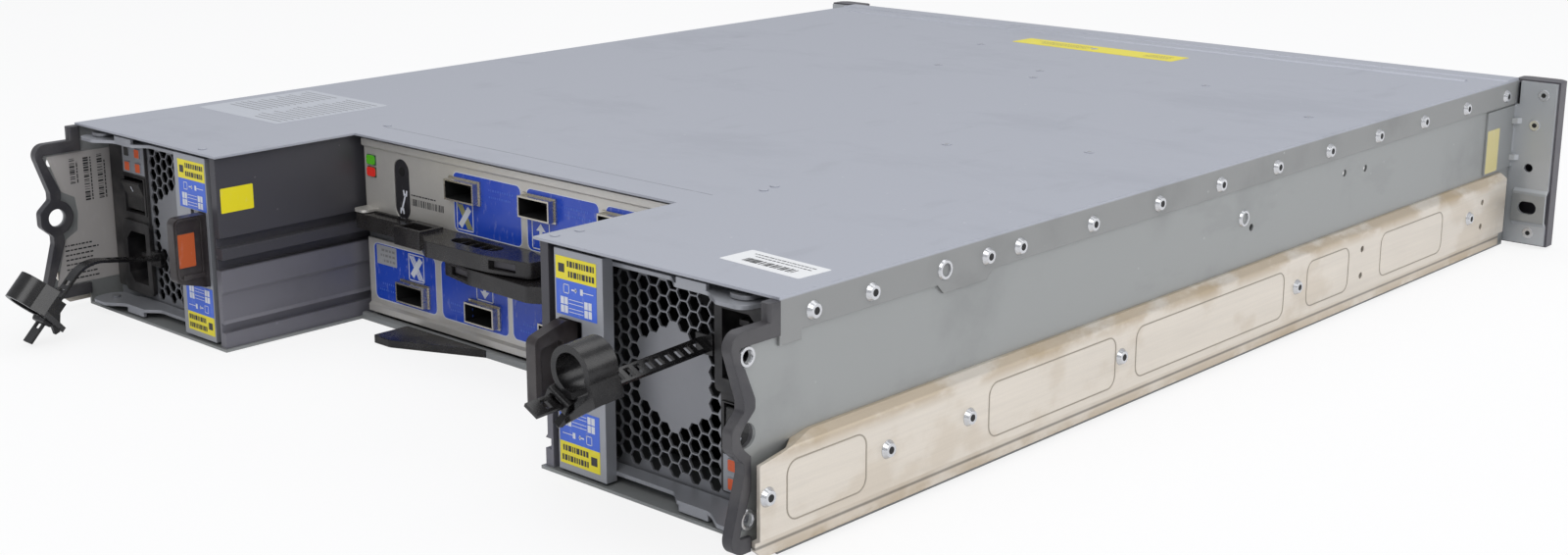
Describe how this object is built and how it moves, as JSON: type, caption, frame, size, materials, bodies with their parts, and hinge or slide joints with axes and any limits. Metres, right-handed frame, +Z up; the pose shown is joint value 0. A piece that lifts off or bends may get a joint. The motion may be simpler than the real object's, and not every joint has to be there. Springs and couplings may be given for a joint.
{
  "type": "rack disk shelf enclosure",
  "caption": "Two-unit rack disk shelf with rear power supplies in side arms, stacked I/O modules in a centre notch, cam handles, side rails and front rack ears.",
  "frame": {"origin": "centre of the chassis underside", "axes": "-Y towards the drive side at the front, +Y towards the power supplies at the rear, +Z up"},
  "size_m": [0.485, 0.6414, 0.0878],
  "materials": {
    "cover_steel": "satin blue-grey coated sheet",
    "zinc_steel": "passivated zinc sheet",
    "rail_zinc": "bare zinc plate with handling stains",
    "black_plastic": "moulded black plastic",
    "grey_plastic": "moulded dark grey plastic",
    "dark_sheet": "dark anthracite coated sheet",
    "board_green": "solder-masked board",
    "connector_plastic": "glass-filled connector plastic",
    "port_metal": "nickel-plated cage",
    "rocker_black": "polished black plastic",
    "screw_zinc": "zinc-plated screws",
    "nylon_strap": "black nylon",
    "fan_plastic": "black glass-filled plastic",
    "handle_zinc": "zinc-plated handle sheet"
  },
  "bodies": {
    "chassis": {"chassis_pan": "zinc_steel", "top_cover": "cover_steel", "bay_wall_left": "dark_sheet", "bay_wall_right": "dark_sheet", "drive_guides": "zinc_steel", "midplane_board": "board_green", "midplane_connectors": "connector_plastic", "ear_bracket_left": "zinc_steel", "ear_bracket_right": "zinc_steel", "end_cap_left": "grey_plastic", "end_cap_right": "grey_plastic", "side_rail_left": "rail_zinc", "side_rail_right": "rail_zinc", "edge_trim_left": "black_plastic", "edge_trim_right": "black_plastic", "machine_screws": "screw_zinc", "rivet_nuts": "screw_zinc", "io_divider": "zinc_steel", "notch_guard": "black_plastic"},
    "shelf_id_button": {"shelf_id_button": "black_plastic"},
    "psu_left": {"psu_left_case": "zinc_steel", "psu_left_board": "board_green", "psu_left_face_plate": "zinc_steel", "psu_left_switch_panel": "black_plastic", "psu_left_inlet": "black_plastic", "psu_left_rocker_frame": "black_plastic", "psu_left_led_block": "grey_plastic", "psu_left_fan_frame": "fan_plastic", "psu_left_strap": "nylon_strap"},
    "psu_left_handle": {"psu_left_handle": "handle_zinc"},
    "psu_left_latch": {"psu_left_latch": "black_plastic"},
    "psu_left_rocker": {"psu_left_rocker": "rocker_black"},
    "psu_left_fan_rotor": {"psu_left_fan_rotor": "fan_plastic"},
    "psu_left_clamp": {"psu_left_clamp": "nylon_strap"},
    "psu_right": {"psu_right_case": "zinc_steel", "psu_right_board": "board_green", "psu_right_face_plate": "zinc_steel", "psu_right_switch_panel": "black_plastic", "psu_right_inlet": "black_plastic", "psu_right_rocker_frame": "black_plastic", "psu_right_led_block": "grey_plastic", "psu_right_fan_frame": "fan_plastic", "psu_right_strap": "nylon_strap"},
    "psu_right_handle": {"psu_right_handle": "handle_zinc"},
    "psu_right_latch": {"psu_right_latch": "black_plastic"},
    "psu_right_rocker": {"psu_right_rocker": "rocker_black"},
    "psu_right_fan_rotor": {"psu_right_fan_rotor": "fan_plastic"},
    "psu_right_clamp": {"psu_right_clamp": "nylon_strap"},
    "io_upper": {"io_upper_case": "zinc_steel", "io_upper_faceplate": "handle_zinc", "io_upper_port_cages": "port_metal", "io_upper_board": "board_green"},
    "io_upper_lever": {"io_upper_lever": "black_plastic"},
    "io_upper_lever_latch": {"io_upper_lever_latch": "grey_plastic"},
    "io_lower": {"io_lower_case": "zinc_steel", "io_lower_faceplate": "handle_zinc", "io_lower_port_cages": "port_metal", "io_lower_board": "board_green"},
    "io_lower_lever": {"io_lower_lever": "black_plastic"},
    "io_lower_lever_latch": {"io_lower_lever_latch": "grey_plastic"}
  },
  "joints": [
    {"name": "shelf_id_button_press", "type": "slide", "parent": "chassis", "child": "shelf_id_button", "axis": [0, 1, 0], "range_m": [0, 0.0008], "stiffness_N_per_m": 400},
    {"name": "psu_left_slide", "type": "slide", "parent": "chassis", "child": "psu_left", "axis": [0, 1, 0], "range_m": [0, 0.26]},
    {"name": "psu_left_handle_hinge", "type": "hinge", "parent": "psu_left", "child": "psu_left_handle", "pos_m": [0.203, 0.276, 0.0435], "axis": [0, 0, -1], "range_deg": [0, 45]},
    {"name": "psu_left_latch_press", "type": "slide", "parent": "psu_left_handle", "child": "psu_left_latch", "axis": [1, 0, 0], "range_m": [0, 0.003], "stiffness_N_per_m": 800},
    {"name": "psu_left_rocker_tilt", "type": "hinge", "parent": "psu_left", "child": "psu_left_rocker", "pos_m": [0.1935, 0.267, 0.0545], "axis": [1, 0, 0], "range_deg": [0, 18]},
    {"name": "psu_left_fan_spin", "type": "hinge", "parent": "psu_left", "child": "psu_left_fan_rotor", "pos_m": [0.159, 0.2325, 0.0435], "axis": [0, 1, 0], "continuous": true},
    {"name": "psu_left_clamp_slide", "type": "slide", "parent": "psu_left", "child": "psu_left_clamp", "axis": [0, 0.6847, -0.7288], "range_m": [-0.007, 0.008]},
    {"name": "psu_right_slide", "type": "slide", "parent": "chassis", "child": "psu_right", "axis": [0, 1, 0], "range_m": [0, 0.26]},
    {"name": "psu_right_handle_hinge", "type": "hinge", "parent": "psu_right", "child": "psu_right_handle", "pos_m": [-0.203, 0.276, 0.0435], "axis": [0, 0, 1], "range_deg": [0, 45]},
    {"name": "psu_right_latch_press", "type": "slide", "parent": "psu_right_handle", "child": "psu_right_latch", "axis": [-1, 0, 0], "range_m": [0, 0.003], "stiffness_N_per_m": 800},
    {"name": "psu_right_rocker_tilt", "type": "hinge", "parent": "psu_right", "child": "psu_right_rocker", "pos_m": [-0.1935, 0.267, 0.0325], "axis": [-1, 0, 0], "range_deg": [0, 18]},
    {"name": "psu_right_fan_spin", "type": "hinge", "parent": "psu_right", "child": "psu_right_fan_rotor", "pos_m": [-0.159, 0.2325, 0.0435], "axis": [0, 1, 0], "continuous": true},
    {"name": "psu_right_clamp_slide", "type": "slide", "parent": "psu_right", "child": "psu_right_clamp", "axis": [0, 0.9984, -0.0565], "range_m": [-0.037, 0.008]},
    {"name": "io_upper_slide", "type": "slide", "parent": "chassis", "child": "io_upper", "axis": [0, 1, 0], "range_m": [0, 0.25]},
    {"name": "io_upper_lever_hinge", "type": "hinge", "parent": "io_upper", "child": "io_upper_lever", "pos_m": [0.0975, 0.2082, 0.0484], "axis": [0, 0, -1], "range_deg": [0, 60]},
    {"name": "io_upper_lever_latch_press", "type": "slide", "parent": "io_upper_lever", "child": "io_upper_lever_latch", "axis": [0, -1, 0], "range_m": [0, 0.002], "stiffness_N_per_m": 500},
    {"name": "io_lower_slide", "type": "slide", "parent": "chassis", "child": "io_lower", "axis": [0, 1, 0], "range_m": [0, 0.25]},
    {"name": "io_lower_lever_hinge", "type": "hinge", "parent": "io_lower", "child": "io_lower_lever", "pos_m": [-0.0975, 0.2082, 0.0406], "axis": [0, 0, 1], "range_deg": [0, 60]},
    {"name": "io_lower_lever_latch_press", "type": "slide", "parent": "io_lower_lever", "child": "io_lower_lever_latch", "axis": [0, -1, 0], "range_m": [0, 0.002], "stiffness_N_per_m": 500}
  ]
}
